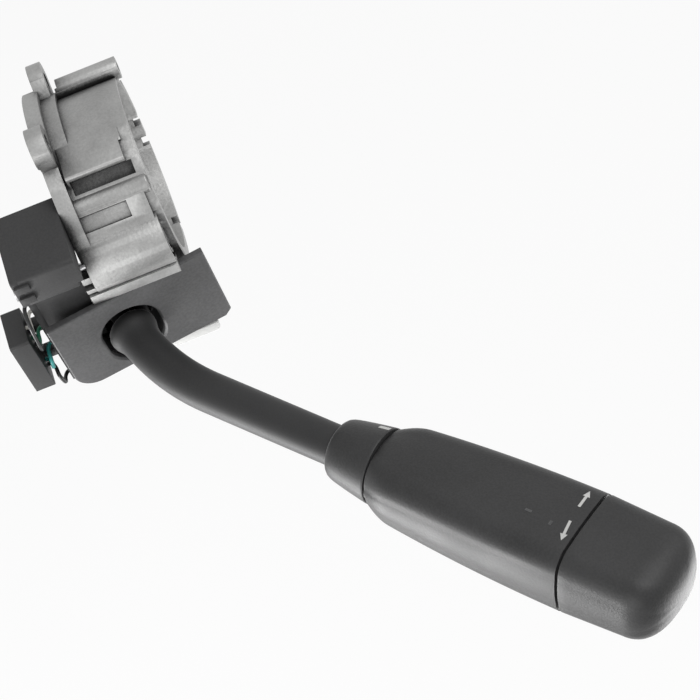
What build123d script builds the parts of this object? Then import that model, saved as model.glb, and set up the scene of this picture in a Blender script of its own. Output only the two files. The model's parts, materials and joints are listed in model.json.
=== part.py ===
from build123d import *
import os
from math import cos, radians, sin

# Millimetres. The origin is on the steering column's axis, at the rear face of the cast bracket.
# +Z is up, -Y points to the driver and -X to the side that the lever reaches out to.
# Angles round the column are counted from straight up towards the lever.

# Fits and clearances
running_fit = 0.05
seat_gap = 0.1
travel_gap = 0.3

# Column bracket: ring, flange and lugs
bore_radius = 24.0
ring_wall = 3.5
ring_length = 25.0
skin_height = 1.0
skin_rear = 8.6
skin_front = 22.0
flange_thickness = 4.3
flange_radius = 30.0
lug_radius = 33.0
lug_angle = 12.0
lug_tip = 5.5
lug_hole = 2.75
lug_pad = 0.4
ear_angle = -50.0
ear_centre = 31.3
ear_tip = 5.5
ear_step = 3.4
ear_thickness = 3.9
ear_hole = 2.25
shroud_boss_radius = 3.1
shroud_boss_place = 27.7
shroud_boss_start = 9.3
shroud_boss_end = 26.5
shroud_hole = 1.25
shroud_hole_depth = 10.0
notch_angles = (-110.0, -125.0, 175.0)
notch_width = 2.6
notch_depth = 1.8

# Column bracket: steps on the lever's side
shelf_top = 27.0
shelf_left = -15.9
shelf_root = -9.0
shelf_start = 5.0
shelf_end = 21.3
bar_radius = 3.1
bar_x = -18.6
bar_z = 17.6
bar_end = 24.6
panel_start = 2.0
panel_end = 22.6
panel_recess = 0.7
boss_x = -25.2
boss_z = 3.6
boss_radius = 8.8
boss_end = 23.2
rail_face = -33.6
rail_rear = 1.6
rail_groove = 1.8

# Cover plate, whose opening the lever passes through
plate_x = -34.0
plate_y = -4.15
plate_z = -22.25
plate_turn = 7.6
plate_to_rear = 20.3
plate_to_driver = 26.3
plate_up = 17.9
plate_down = 12.9
plate_thickness = 2.0
plate_round = 7.0
plate_clip = 2.0
opening_width = 16.6
opening_height = 22.0
opening_edge = 0.6
leg_radius = 1.4
leg_length = 3.6
leg_inset = 3.5

# Lever
lever_angle = 17.0
grip_angle = 41.7
pivot_depth = 12.0
bend_distance = 29.2
bend_radius = 66.0
grip_distance = 54.9
tube_radius = 5.6
tube_bore = 3.4
tube_start = 10.0
dome_radius = 6.5
dome_start = 8.2
dome_end = 14.4
hub_radius = 3.2
hub_half_height = 3.5
neck_radius = 2.9
pin_radius = 1.5
harness_radius = 1.7

# Grip, measured along its own axis from the inner end of the collar
collar_length = 13.9
collar_start_radius = 8.4
collar_end_radius = 10.6
sleeve_gap = 0.4
sleeve_start_width = 21.2
sleeve_start_depth = 18.6
sleeve_start_corner = 7.5
shoulder_end = 22.0
shoulder_width = 25.9
shoulder_depth = 20.6
sleeve_end = 72.3
cap_gap = 1.0
grip_length = 99.9
grip_width = 29.6
grip_depth = 23.2
grip_corner = 5.6
grip_roll = 15.0
cap_taper = 0.5
cap_edge = 5.5
cap_wall = 4.4
cap_bore = 9.4
cap_press = 0.8
spindle_radius = 7.0
spindle_bore = 4.0
spindle_start = 5.0
spindle_end = 66.0
sleeve_cavity = 9.2
land_length = 7.5
second_land = 55.5
clip_width = 1.0
clip_depth = 0.6
ball_radius = 1.2
ball_place = 30.0
groove_radius = 0.7
groove_length = 3.4
stop_angles = (-20.0, 0.0, 20.0, 40.0)
tracks_start = 39.0
tracks_width = 5.0
switch_start = 48.0
switch_end = 56.0
stem_start = 58.2
shoulder_place = 74.8
tongue_place = 11.0
tongue_width = 1.8
tongue_height = 5.0
tongue_start = 67.0

# Drum that carries the lever, and what it drives
turn_limit = 13.0
drum_radius = 6.5
drum_half_length = 9.0
drum_clearance = 0.4
drum_flat = 5.2
slot_half_height = 3.8
slot_to_driver = 6.2
slot_to_rear = 4.0
slot_back = 0.6
front_trunnion = 2.5
front_trunnion_length = 4.0
rear_trunnion = 2.2
drive_reach = 4.6
drive_radius = 1.1
track_radius = 8.5
plunger_radius = 1.1
plunger_offset = 6.2
plunger_depth = 4.8
plunger_bore_end = 1.5
leaf_thickness = 0.3
slider_width = 4.6
slider_height = 13.0
slider_depth = 3.0
bridge_thickness = 0.4
blade_width = 2.2

# Cancelling pawl
pawl_angle = 135.0
pawl_pivot_radius = 29.6
pawl_length = 5.0
pawl_hub = 2.0
pawl_start = -14.8
pawl_end = -20.2
pawl_thickness = 2.2
pawl_room = 0.7
pawl_pin_radius = 0.8
pawl_pin_reach = 1.6

# Switch housing and cover
housing_front = -22.5
housing_bottom = -35.5
housing_top = 21.5
housing_left = -36.8
housing_right = -6.0
chamber_top = -8.6
back_left = -31.5
recess_left = -31.0
overhang_bottom = 10.0
column_clearance = 26.3
pocket_depth = 7.14
head_wall = 2.2
head_round = 1.2
bracket_inset = 16.8
tab_thickness = 0.8
tab_height = 2.6
tab_reach = 2.4
cover_thickness = 2.0
screw_shank = 1.25
screw_head = 2.2
screw_depth = 7.0
lower_screw_radius = 31.0
lower_screw_angle = 157.0
lower_lug_tip = 4.0
lower_lug_length = 9.0

# White contact base
base_left = -31.4
base_right = -15.0
base_front = -25.4
base_rear = -9.0
base_height = 3.6

# Connector and its leads
lead_space = 4.0
connector_width = 12.4
connector_height = 23.0
connector_depth = 5.5
connector_inset = 0.8
connector_top = -5.8
chamber_size = 3.8
lead_radius = 0.55
lead_bend = 1.2
lead_seat = 1.4
lead_x = -29.9

# Each lead's height at the cover, its height at the connector, and how far out it bows
lead_routes = {
    "lead_black": (2.2, -16.0, 5.3),
    "lead_white": (-1.4, -7.6, 3.6),
    "lead_green": (-9.6, -12.8, 3.4),
    "lead_teal": (-17.8, -24.2, 4.6),
    "lead_black_low": (-33.2, -26.8, 4.2),
}

ring_radius = bore_radius + ring_wall
pivot = Vector(
    plate_x + pivot_depth * cos(radians(lever_angle)),
    plate_y + pivot_depth * sin(radians(lever_angle)),
    plate_z,
)
root_direction = Vector(-cos(radians(lever_angle)), -sin(radians(lever_angle)), 0)
grip_direction = Vector(-cos(radians(grip_angle)), -sin(radians(grip_angle)), 0)
lever_corner = pivot + root_direction * bend_distance
grip_origin = lever_corner + grip_direction * grip_distance
to_driver = Vector(grip_direction.Y, -grip_direction.X, 0) * -1
grip_across = to_driver * cos(radians(grip_roll)) - Vector(0, 0, 1) * sin(radians(grip_roll))
grip_frame = Plane(origin=grip_origin, x_dir=grip_across, z_dir=grip_direction)
root_frame = Plane(origin=pivot, x_dir=(0, 0, 1), z_dir=root_direction)
plate_frame = Plane(
    origin=(plate_x, plate_y, plate_z),
    x_dir=(sin(radians(plate_turn)), -cos(radians(plate_turn)), 0),
    z_dir=(-cos(radians(plate_turn)), -sin(radians(plate_turn)), 0),
)
plate_top = plate_z + plate_up
drum_front = pivot.Y - drum_half_length
drum_rear = pivot.Y + drum_half_length
slider_rear = drum_rear + 0.5 + slider_depth
bridge_rear = slider_rear + bridge_thickness
housing_rear = drum_rear + pocket_depth
cover_rear = housing_rear + cover_thickness
connector_front = cover_rear + lead_space
connector_rear = connector_front + connector_depth
connector_left = housing_left + connector_inset
connector_right = connector_left + connector_width
connector_bottom = connector_top - connector_height
cap_start = sleeve_end + cap_gap
cap_floor = grip_length - cap_wall
clip_start = second_land + land_length + 0.4


def box_between(low, high):
    """A box from its lowest to its highest corner."""
    size = [b - a for a, b in zip(low, high)]
    centre = [(a + b) / 2 for a, b in zip(low, high)]
    return Pos(*centre) * Box(*size)


def rod_y(radius, x, z, y_start, y_end):
    """A round bar parallel to the column."""
    return Pos(x, (y_start + y_end) / 2, z) * Rot(90, 0, 0) * Cylinder(radius, abs(y_end - y_start))


def rod_z(radius, x, y, z_start, z_end):
    """An upright round bar."""
    return Pos(x, y, (z_start + z_end) / 2) * Cylinder(radius, abs(z_end - z_start))


def grip_rod(radius, start, end):
    """A round bar on the grip's axis."""
    return grip_frame.location * Pos(0, 0, (start + end) / 2) * Cylinder(radius, end - start)


def around_column(radius, angle):
    """X and Z of a point at an angle round the column."""
    return -radius * sin(radians(angle)), radius * cos(radians(angle))


def profile_y(sketch, y_start, y_end):
    """A profile drawn in X and Z, extruded from y_start towards the driver to y_end."""
    plane = Plane(origin=(0, y_start, 0), x_dir=(1, 0, 0), z_dir=(0, -1, 0))
    return extrude(plane * sketch, y_start - y_end)


def polygon(*points):
    """A closed face from its corners."""
    return make_face(Polyline(*points, close=True))


def lug(radius, angle, tip):
    """The profile of a lug that reaches out from the ring and ends round."""
    arm = Pos(0, (ring_radius + radius) / 2) * Rectangle(2 * tip, radius - ring_radius + 2)
    return Rot(0, 0, angle) * (arm + Pos(0, radius) * Circle(tip))


def screw_places():
    """X and Z of the two screws that hold the housing to the bracket."""
    return [(boss_x - 3.4, boss_z + 3.0), around_column(lower_screw_radius, lower_screw_angle)]


def bracket_shelf():
    """The flat shelf on the ring, with the round bar below its edge."""
    shelf = profile_y(polygon(
        (-1.5, bore_radius - 2), (-1.5, shelf_top), (shelf_left, shelf_top),
        (shelf_left, bar_z), (shelf_root, bar_z),
    ), -shelf_start, -shelf_end)
    shelf = fillet(shelf.edges().filter_by(Axis.Y).group_by(Axis.X)[0].sort_by(Axis.Z)[-1:], 0.8)
    bar = rod_y(bar_radius, bar_x, bar_z, -flange_thickness + 1, -bar_end)
    return shelf + fillet(bar.edges().group_by(Axis.Y)[0], 0.6)


def bracket_panel():
    """The two facets below the bar, the upper one with a shallow sunk panel."""
    top_x, top_z = bar_x - 2.6, bar_z + 1.0
    middle_x, middle_z = boss_x - 0.4, boss_z + 9.8
    low_x, low_z = boss_x - 4.4, boss_z + 6.0
    block = profile_y(polygon(
        (bar_x + 3.6, bar_z + 1.4), (top_x, top_z), (middle_x, middle_z), (low_x, low_z),
        (low_x, boss_z), (boss_x + 3, boss_z), (bar_x + 3.6, bar_z - 4.0),
    ), -panel_start, -panel_end)
    facet = Plane(
        origin=((top_x + middle_x) / 2, -(panel_start + panel_end) / 2 + 1.5, (top_z + middle_z) / 2),
        x_dir=(0, 1, 0), z_dir=Vector(middle_x - top_x, 0, middle_z - top_z).cross(Vector(0, 1, 0)),
    )
    sunk = facet.location * Box(13.2, 4.6, 2 * panel_recess)
    return block - sunk


def bracket_boss():
    """The round boss beside the ring, ringed on its front, with rails above the cover plate."""
    boss = rod_y(boss_radius, boss_x, boss_z, -1.0, -boss_end)
    low = plate_top + seat_gap
    rails = profile_y(polygon(
        (-28.0, low + 10.0), (rail_face + 0.6, low + 11.2), (rail_face + 0.6, low + 8.6),
        (rail_face + rail_groove, low + 8.2), (rail_face + rail_groove, low + 7.1), (rail_face, low + 6.8),
        (rail_face, low + 5.2), (rail_face + 1.2, low + 4.8), (rail_face + 1.2, low + 4.0),
        (rail_face, low + 3.6), (rail_face, low), (boss_x - 3.0, low),
    ), rail_rear, -boss_end)
    body = boss + rails
    for outer, depth in ((1.4, 0.9), (4.0, 1.8)):
        groove = rod_y(boss_radius - outer, boss_x, boss_z, -boss_end + depth, -boss_end - 1)
        groove -= rod_y(boss_radius - outer - 1.4, boss_x, boss_z, 0, -boss_end - 2)
        body -= groove
    return body


def bracket_flange():
    """The rear flange with two fixing lugs, and the stepped ear."""
    outline = Circle(flange_radius)
    for turn in (lug_angle, lug_angle + 180):
        outline += lug(lug_radius, turn, lug_tip)
    outline -= Pos(-30, -26) * Rectangle(24, 44)
    ear = profile_y(lug(ear_centre, ear_angle, ear_tip), -ear_step, -ear_step - ear_thickness)
    return profile_y(outline, 0, -flange_thickness) + ear


def bracket_skin():
    """The raised skin on the upper part of the ring, clear of the flange."""
    band = rod_y(ring_radius + skin_height, 0, 0, -skin_rear, -skin_front)
    corners = [around_column(3 * ring_radius, turn) for turn in (20, -15, -52)]
    return band & profile_y(polygon((0, 0), *corners), 0, -40)


def column_bracket():
    """Die-cast bracket: ring on the column, flange with lugs, steps, boss and rails."""
    ear_x, ear_z = around_column(ear_centre, ear_angle)
    boss_place = around_column(shroud_boss_place, ear_angle)
    body = rod_y(ring_radius, 0, 0, 0, -ring_length) + bracket_flange() + bracket_skin()
    body += bracket_shelf() + bracket_panel() + bracket_boss()
    body += rod_y(shroud_boss_radius, *boss_place, -shroud_boss_start, -shroud_boss_end)
    body += rod_y(lower_lug_tip, *screw_places()[1], 0, -lower_lug_length)
    body -= rod_y(bore_radius, 0, 0, 3, -ring_length - 3)
    for turn in (lug_angle, lug_angle + 180):
        place = around_column(lug_radius, turn)
        body += rod_y(lug_tip, *place, lug_pad, -lug_pad)
        body -= rod_y(lug_hole, *place, lug_pad + 1, -flange_thickness - 1)
    body -= rod_y(ear_hole, ear_x, ear_z, 0, -shroud_boss_start + 0.2)
    body -= rod_y(shroud_hole, *boss_place, -shroud_boss_end + shroud_hole_depth, -shroud_boss_end - 1)
    for x, z in screw_places():
        body -= rod_y(screw_shank, x, z, 3, -screw_depth - 1)
    for turn in notch_angles:
        reach = (bore_radius - 1, ring_radius + 1)
        body -= radial_box(turn, reach, notch_width, -ring_length, 2 * notch_depth)
    body -= rod_y(drum_radius + drum_clearance + seat_gap, pivot.X, pivot.Z, 3, drum_front - 1)
    return body - pawl_space()


def radial_box(angle, reach, width, y, length):
    """A box that points out from the column between two radii, centred on y."""
    x, z = around_column(sum(reach) / 2, angle)
    return Pos(x, y, z) * Rot(0, -angle, 0) * Box(width, length, reach[1] - reach[0])


def pawl_space():
    """The room in bracket and housing for the pawl, its swing and its pin."""
    x, z = around_column(pawl_pivot_radius, pawl_angle)
    space = rod_y(pawl_hub + pawl_room, x, z, pawl_start + seat_gap, pawl_end - seat_gap)
    reach = (pawl_pivot_radius - pawl_length - pawl_room, pawl_pivot_radius)
    middle = (pawl_start + pawl_end) / 2
    length = pawl_start - pawl_end + 2 * seat_gap
    space += radial_box(pawl_angle, reach, 2 * (pawl_hub + pawl_room), middle, length)
    return space + pawl_pin()


def cancel_pawl():
    """The pawl that a cam on the column trips to cancel the turn signal."""
    x, z = around_column(pawl_pivot_radius, pawl_angle)
    reach = (pawl_pivot_radius - pawl_length, pawl_pivot_radius)
    nose = radial_box(pawl_angle, reach, pawl_thickness, (pawl_start + pawl_end) / 2, pawl_start - pawl_end)
    nose = fillet(nose.edges().filter_by(Axis.Y), 0.4 * pawl_thickness)
    pawl = rod_y(pawl_hub, x, z, pawl_start, pawl_end) + nose
    return pawl - rod_y(pawl_pin_radius + running_fit, x, z, pawl_start + 1, pawl_end - 1)


def pawl_pin():
    """The steel pin that the cancelling pawl turns on."""
    x, z = around_column(pawl_pivot_radius, pawl_angle)
    return rod_y(pawl_pin_radius, x, z, pawl_start + travel_gap, pawl_end - pawl_pin_reach)


def plate_profile():
    """The cover plate's outline, with one well rounded and one clipped corner."""
    centre = Pos((plate_to_driver - plate_to_rear) / 2, (plate_up - plate_down) / 2)
    outline = centre * Rectangle(plate_to_rear + plate_to_driver, plate_up + plate_down)
    outline = fillet(outline.vertices().group_by(Axis.X)[0].sort_by(Axis.Y)[0], plate_round)
    outline = chamfer(outline.vertices().group_by(Axis.X)[-1].sort_by(Axis.Y)[0], plate_clip)
    return outline


def opening_profile(grow=0.0):
    """The upright oblong opening that the lever swings in."""
    return Rot(0, 0, 90) * SlotOverall(opening_height + 2 * grow, opening_width + 2 * grow)


def leg_places():
    """Places of the cover plate's legs in the plate's own frame."""
    low = leg_inset - plate_down
    high = low + 11.8
    return [(-12.5, low), (15.5, low), (15.5, high), (-14.5, high)]


def plate_legs(grow=0.0):
    """The four legs on the plate's back."""
    middle = -plate_thickness - leg_length / 2 - grow
    legs = [Pos(x, y, middle) * Cylinder(leg_radius + grow, leg_length + 2 * grow) for x, y in leg_places()]
    return [plate_frame.location * leg for leg in legs]


def cover_plate():
    """Moulded cover plate with a softened opening and four legs that seat in the housing."""
    sheet = extrude(plate_profile(), -plate_thickness)
    sheet = fillet(sheet.faces().sort_by(Axis.Z)[-1].outer_wire().edges(), 0.5)
    sheet -= extrude(opening_profile(), -plate_thickness)
    rim = sheet.faces().sort_by(Axis.Z)[-1].inner_wires()[0].edges()
    plate = plate_frame.location * chamfer(rim, opening_edge)
    for leg in plate_legs():
        plate += leg
    return plate


def rear_profile():
    """The rear block in X and Z: a head that overhangs a hollow, above the chamber's back."""
    outline = polygon(
        (housing_left, housing_top), (housing_right - 6.0, housing_top), (housing_right, plate_z),
        (housing_right, housing_bottom), (back_left, housing_bottom), (back_left, plate_top - 1.6),
        (recess_left, plate_top + 1.4), (recess_left, overhang_bottom - 3.0), (housing_left, overhang_bottom),
    )
    return fillet(outline.vertices().sort_by(Axis.X)[:2], head_round)


def chamber_space():
    """Everything that is hollow inside the housing."""
    back = housing_rear + 1
    space = rod_y(drum_radius + drum_clearance, pivot.X, pivot.Z, back, drum_front - travel_gap)
    trunnion_end = drum_front - front_trunnion_length - travel_gap
    space += rod_y(front_trunnion + running_fit, pivot.X, pivot.Z, 0, trunnion_end)
    space += plate_frame.location * extrude(opening_profile(0.6), -10)
    space += box_between(
        (pivot.X - 4.6, pivot.Y + 4.0, pivot.Z - track_radius - 3.7), (pivot.X + 4.6, pivot.Y + 8.4, pivot.Z),
    )
    space += box_between(
        (slider_left() - travel_gap, drum_rear + 0.2, pivot.Z - slider_height / 2 - 2.5),
        (pivot.X + 3.0, back, pivot.Z + slider_height / 2 + 2.5),
    )
    space += pawl_space()
    head = box_between(
        (housing_left + head_wall, 3.0, overhang_bottom + head_wall),
        (housing_left + 14.0, back, housing_top - head_wall),
    )
    return space + (head - rod_y(column_clearance + head_wall, 0, 0, back + 1, 0))


def switch_housing():
    """Moulded housing behind and below the bracket: lever chamber, switch pocket and head."""
    chamber = polygon(
        (housing_left + 3, chamber_top), (housing_right - 2, chamber_top),
        (housing_right - 2, housing_bottom), (housing_left + 3, housing_bottom),
    )
    front = profile_y(chamber, seat_gap + 0.9, housing_front)
    front -= rod_y(ring_radius + seat_gap, 0, 0, 2, housing_front - 1)
    rear = profile_y(rear_profile(), housing_rear, seat_gap)
    rear -= rod_y(column_clearance, 0, 0, housing_rear + 1, -1)
    body = front + rear
    body -= plate_frame.location * Pos(0, 0, 50 - plate_thickness) * Box(80, 2 * plate_up + 1, 100)
    flange = Circle(flange_radius + seat_gap) + lug(lug_radius, lug_angle + 180, lug_tip + seat_gap)
    body -= profile_y(flange, seat_gap, -flange_thickness - seat_gap)
    body -= rod_y(lower_lug_tip + seat_gap, *screw_places()[1], seat_gap, -lower_lug_length - seat_gap)
    body -= box_between(
        (housing_left - 1, -ring_length, chamber_top),
        (housing_left + bracket_inset, rail_rear + seat_gap, overhang_bottom + 2),
    )
    body -= chamber_space()
    for x, z in screw_places():
        body -= rod_y(screw_shank + seat_gap, x, z, housing_rear + 1, -1)
    for leg in plate_legs(running_fit):
        body -= leg
    return body


def housing_cover():
    """Rear cover with the drum's rear bearing, two snap tabs and the connector's posts."""
    cover = profile_y(rear_profile(), cover_rear, housing_rear)
    cover -= rod_y(column_clearance, 0, 0, cover_rear + 1, housing_rear - 1)
    cover += rod_y(rear_trunnion + 2.0, pivot.X, pivot.Z, cover_rear, housing_rear - 2.4)
    for share in (0.3, 0.72):
        z = overhang_bottom + share * (housing_top - overhang_bottom)
        cover += box_between(
            (housing_left - tab_thickness, housing_rear - tab_reach, z - tab_height / 2),
            (housing_left, cover_rear - 0.4, z + tab_height / 2),
        )
    for x, z in post_places():
        cover += box_between((x - 1.5, cover_rear - 1, z - 1.5), (x + 1.5, connector_front, z + 1.5))
    cover -= rod_y(rear_trunnion + running_fit, pivot.X, pivot.Z, cover_rear - 0.6, 0)
    for x, z in screw_places():
        cover -= rod_y(screw_shank + seat_gap, x, z, cover_rear + 1, housing_rear - 1)
    seat_end = cover_rear - lead_seat - running_fit
    for z, _, _ in lead_routes.values():
        cover -= rod_y(lead_radius + running_fit, lead_x, z, cover_rear + 1, seat_end)
    return cover


def post_places():
    """X and Z of the posts between the cover and the connector."""
    x = connector_right - 2.5
    return [(x, connector_bottom + 3.0), (x, connector_bottom + 0.7 * connector_height)]


def housing_screws():
    """Two long screws from the rear through cover and housing into the bracket."""
    screws = []
    for x, z in screw_places():
        shank = rod_y(screw_shank, x, z, cover_rear, -screw_depth)
        head = rod_y(screw_head, x, z, cover_rear + 1.8, cover_rear)
        drive = Plane(origin=(x, cover_rear + 1.9, z), z_dir=(0, 1, 0)) * RegularPolygon(1.2, 6)
        screws.append(shank + head - extrude(drive, -1.2))
    return Compound(children=screws)


def lever_carrier():
    """The drum that turns for the turn signal, with trunnions, the lever's slot and a drive pin."""
    drum = rod_y(drum_radius, pivot.X, pivot.Z, drum_front, drum_rear)
    drum = chamfer(drum.edges().filter_by(GeomType.CIRCLE), 0.4)
    drum += rod_y(front_trunnion, pivot.X, pivot.Z, drum_front, drum_front - front_trunnion_length)
    drum += rod_y(rear_trunnion, pivot.X, pivot.Z, drum_rear, cover_rear - 0.8)
    drum += rod_y(drive_radius, pivot.X - drive_reach, pivot.Z, drum_rear - 1, slider_rear - 0.3)
    drum -= box_between(
        (pivot.X - drum_radius - 1, drum_front - 1, pivot.Z - drum_radius),
        (pivot.X - drum_flat, pivot.Y + plunger_offset, pivot.Z + drum_radius),
    )
    drum -= box_between(
        (pivot.X - drum_radius - 1, pivot.Y - slot_to_driver, pivot.Z - slot_half_height),
        (pivot.X + hub_radius + slot_back, pivot.Y + slot_to_rear, pivot.Z + slot_half_height),
    )
    drum -= rod_z(pin_radius, pivot.X, pivot.Y, pivot.Z - 8, pivot.Z + 8)
    plunger_bore = rod_z(
        plunger_radius + running_fit, pivot.X, pivot.Y + plunger_offset,
        pivot.Z - drum_radius - 1, pivot.Z - plunger_bore_end,
    )
    return drum - plunger_bore


def turn_detent_track():
    """The notched track that the turn signal's plunger indexes on, concentric with the drum."""
    block = box_between(
        (pivot.X - 4.5, pivot.Y + 4.1, pivot.Z - track_radius - 3.6),
        (pivot.X + 4.5, pivot.Y + 8.3, pivot.Z - drum_radius - 0.5),
    )
    block -= rod_y(track_radius, pivot.X, pivot.Z, drum_rear + 5, drum_front)
    for turn in (-turn_limit, 0.0, turn_limit):
        x = pivot.X + track_radius * sin(radians(turn))
        z = pivot.Z - track_radius * cos(radians(turn))
        block -= rod_y(plunger_radius - 0.2, x, z, drum_rear + 5, drum_front)
    return block


def beam_pin():
    """The steel pin that the lever pivots on for the main beam."""
    reach = drum_radius - 0.5
    return rod_z(pin_radius, pivot.X, pivot.Y, pivot.Z - reach, pivot.Z + reach)


def beam_leaf_spring():
    """Leaf spring on the back wall of the drum's slot, against the lever's hub."""
    wall = pivot.X + hub_radius + slot_back
    half = hub_half_height - 0.9
    low = (wall - leaf_thickness, pivot.Y - half, pivot.Z - half)
    return box_between(low, (wall, pivot.Y + half, pivot.Z + half))


def turn_detent_plunger():
    """Round-nosed plunger that indexes the turn signal."""
    y = pivot.Y + plunger_offset
    nose = pivot.Z - track_radius + travel_gap + plunger_radius
    shank = rod_z(plunger_radius, pivot.X, y, nose, pivot.Z - plunger_depth)
    return shank + Pos(pivot.X, y, nose) * Sphere(plunger_radius)


def coil_spring(wire, radius, height, turns):
    """A coil spring that stands on Z = 0."""
    path = Helix(pitch=(height - 2 * wire) / turns, height=height - 2 * wire, radius=radius)
    start = Plane(origin=path @ 0, z_dir=path % 0)
    return Pos(0, 0, wire) * sweep(start * Circle(wire), path=path, is_frenet=True)


def turn_plunger_spring():
    """The coil spring behind the turn signal's plunger."""
    bottom = pivot.Z - plunger_depth + seat_gap
    height = plunger_depth - plunger_bore_end - 2 * seat_gap
    return Pos(pivot.X, pivot.Y + plunger_offset, bottom) * coil_spring(0.16, 0.8, height, 4)


def slider_left():
    """X of the slider's outer side."""
    return pivot.X - rear_trunnion - 0.5 - slider_width


def turn_contact_slider():
    """The slider that the drum's drive pin moves up and down."""
    left = slider_left()
    front = slider_rear - slider_depth
    block = box_between(
        (left, front, pivot.Z - slider_height / 2),
        (left + slider_width, slider_rear, pivot.Z + slider_height / 2),
    )
    slot = box_between(
        (left + 1.1, front - 1, pivot.Z - drive_radius - 0.2),
        (left + slider_width + 1, slider_rear + 1, pivot.Z + drive_radius + 0.2),
    )
    return chamfer(block.edges().filter_by(Axis.Y), 0.4) - slot


def slider_bridge():
    """The brass bridge on the slider."""
    left = slider_left() + 0.3
    plate = box_between(
        (left, slider_rear, pivot.Z - slider_height / 2 + 0.7),
        (left + slider_width - 0.8, bridge_rear, pivot.Z + slider_height / 2 - 0.7),
    )
    return plate - box_between((left + 0.7, 0, pivot.Z - 1.8), (left + slider_width, 30, pivot.Z + 1.8))


def contact_blades():
    """Three fixed brass blades that stand out of the rear cover."""
    left = slider_left() + 0.5
    return Compound(children=[
        box_between(
            (left, bridge_rear + travel_gap, pivot.Z + z - 0.4),
            (left + blade_width, housing_rear, pivot.Z + z + 0.4),
        )
        for z in (-slider_height / 3, 0.0, slider_height / 3)
    ])


def contact_base():
    """White moulded contact base under the chamber, which shows below the cover plate."""
    low = housing_bottom - base_height
    block = box_between((base_left, base_front, low), (base_right, base_rear, housing_bottom))
    block = chamfer(block.edges().filter_by(Axis.X).group_by(Axis.Z)[0], 1.0)
    hollow_low = (base_left + 2, base_front + 3, low - 1)
    return block - box_between(hollow_low, (base_right - 2, base_rear - 3, low + 2))


def chamber_places():
    """Centres of the connector's chambers, in two columns of four."""
    columns = [connector_left + connector_width * share for share in (0.27, 0.73)]
    rows = [connector_bottom + connector_height * share for share in (0.14, 0.38, 0.62, 0.86)]
    return [(x, z) for x in columns for z in rows]


def connector_shell():
    """Multi-way connector housing with open chambers at the rear."""
    block = box_between(
        (connector_left, connector_front, connector_bottom), (connector_right, connector_rear, connector_top),
    )
    block = chamfer(block.edges().filter_by(Axis.Y), 0.6)
    half = chamber_size / 2
    for x, z in chamber_places():
        low = (x - half, connector_front + 2.0, z - half)
        block -= box_between(low, (x + half, connector_rear + 1, z + half))
    seat_end = connector_front + lead_seat + running_fit
    for _, z, _ in lead_routes.values():
        block -= rod_y(lead_radius + running_fit, lead_x, z, connector_front - 1, seat_end)
    return block


def connector_pins():
    """A flat brass blade in each chamber of the connector."""
    return Compound(children=[
        box_between((x - 0.4, connector_front + 2.0, z - 1.2), (x + 0.4, connector_rear - 0.8, z + 1.2))
        for x, z in chamber_places()
    ])


def lead(name):
    """A short lead that bows out sideways between the cover and the connector."""
    cover_z, connector_z, bow = lead_routes[name]
    middle = (cover_rear + connector_front) / 2
    out = lead_x - bow
    path = FilletPolyline(
        (lead_x, cover_rear - lead_seat, cover_z), (lead_x, middle, cover_z), (out, middle, cover_z),
        (out, middle, connector_z), (lead_x, middle, connector_z),
        (lead_x, connector_front + lead_seat, connector_z), radius=lead_bend,
    )
    return sweep(Plane(origin=path @ 0, z_dir=path % 0) * Circle(lead_radius), path=path)


def lever_path(start, end):
    """The lever's centre line from a distance before the bend to one after it."""
    first = lever_corner - root_direction * start
    return FilletPolyline(first, lever_corner, lever_corner + grip_direction * end, radius=bend_radius)


def lever_tube():
    """The bent tube between the root and the grip."""
    path = lever_path(bend_distance - tube_start, grip_distance + spindle_start)
    section = Circle(tube_radius) - Circle(tube_bore)
    return sweep(Plane(origin=path @ 0, z_dir=path % 0) * section, path=path)


def lever_harness():
    """The wires that run inside the lever to the grip, as one round bundle."""
    path = lever_path(bend_distance - tube_start, grip_distance + switch_start)
    return sweep(Plane(origin=path @ 0, z_dir=path % 0) * Circle(harness_radius), path=path)


def lever_root():
    """Moulded root of the lever: hub on the pin, neck, and the dome that fills the opening."""
    side = Spline(
        (dome_radius - 1.8, dome_start), (dome_radius, dome_start + 2.9), (tube_radius + 0.3, dome_end),
        tangents=((0.6, 1), (-0.1, 1)),
    )
    outline = make_face([
        Line((0, dome_start), side @ 0), side,
        Line(side @ 1, (0, dome_end)), Line((0, dome_end), (0, dome_start)),
    ])
    body = root_frame.location * revolve(Plane.XZ * outline, Axis.Z)
    body += rod_z(hub_radius, pivot.X, pivot.Y, pivot.Z - hub_half_height, pivot.Z + hub_half_height)
    body += root_frame.location * Pos(0, 0, (dome_start + 1) / 2) * Cylinder(neck_radius, dome_start + 1)
    body -= rod_z(pin_radius + running_fit, pivot.X, pivot.Y, pivot.Z - 6, pivot.Z + 6)
    seat = Pos(0, 0, tube_start + 5) * Cylinder(tube_radius, 10)
    return body - root_frame.location * seat


def index_collar():
    """Tapered collar that carries the index mark and holds the spindle on the tube."""
    points = [
        (tube_radius, 0), (collar_start_radius - 2.2, 0), (collar_start_radius - 0.7, 0.5),
        (collar_start_radius, 2.0), (collar_end_radius, collar_length), (spindle_radius, collar_length),
        (spindle_radius, spindle_start), (tube_radius, spindle_start),
    ]
    return grip_frame.location * revolve(Plane.XZ * polygon(*points), Axis.Z)


def spindle_band(start, width, depth):
    """A ring let into the spindle's surface."""
    inside = grip_rod(spindle_radius - depth, start - 1, start + width + 1)
    return grip_rod(spindle_radius, start, start + width) - inside


def wiper_tracks():
    """Curved brass track let into the spindle under the sleeve's contact ring."""
    side = Pos(0, spindle_radius, tracks_start) * Box(9, 8, 3 * tracks_width)
    return spindle_band(tracks_start, tracks_width, clip_depth) & (grip_frame.location * side)


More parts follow.
